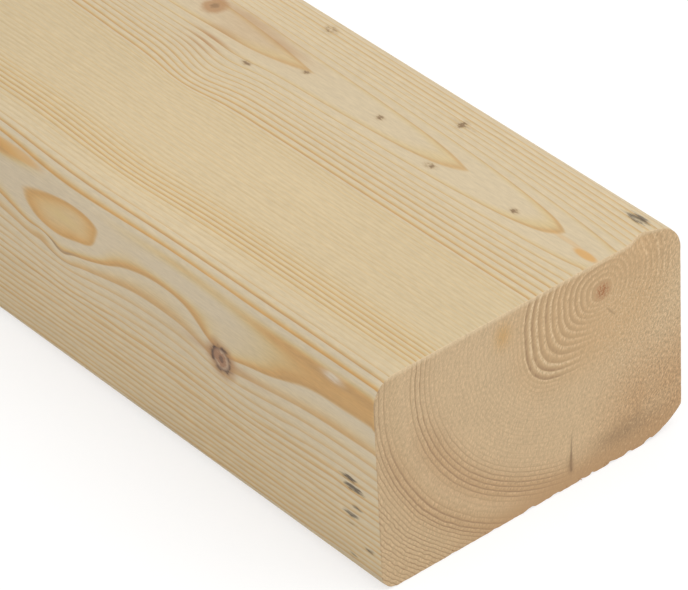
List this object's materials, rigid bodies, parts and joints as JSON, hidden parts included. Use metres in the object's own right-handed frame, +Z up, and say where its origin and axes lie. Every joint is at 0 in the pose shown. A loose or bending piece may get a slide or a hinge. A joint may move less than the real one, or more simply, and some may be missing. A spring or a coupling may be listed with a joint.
{
  "type": "timber plank",
  "caption": "Straight length of planed softwood timber with eased edges and a short wane, used as studwork, framing or a rail.",
  "frame": {"origin": "middle of the bottom face, halfway along the length, on the floor that the plank lies on", "axes": "+X along the length towards the top end of the log, +Y across the width to the far edge, +Z up through the thickness"},
  "size_m": [2.4, 0.07, 0.045],
  "materials": {
    "spruce": "planed, unfinished, matt"
  },
  "bodies": {
    "root": {"plank": "spruce"}
  },
  "joints": []
}
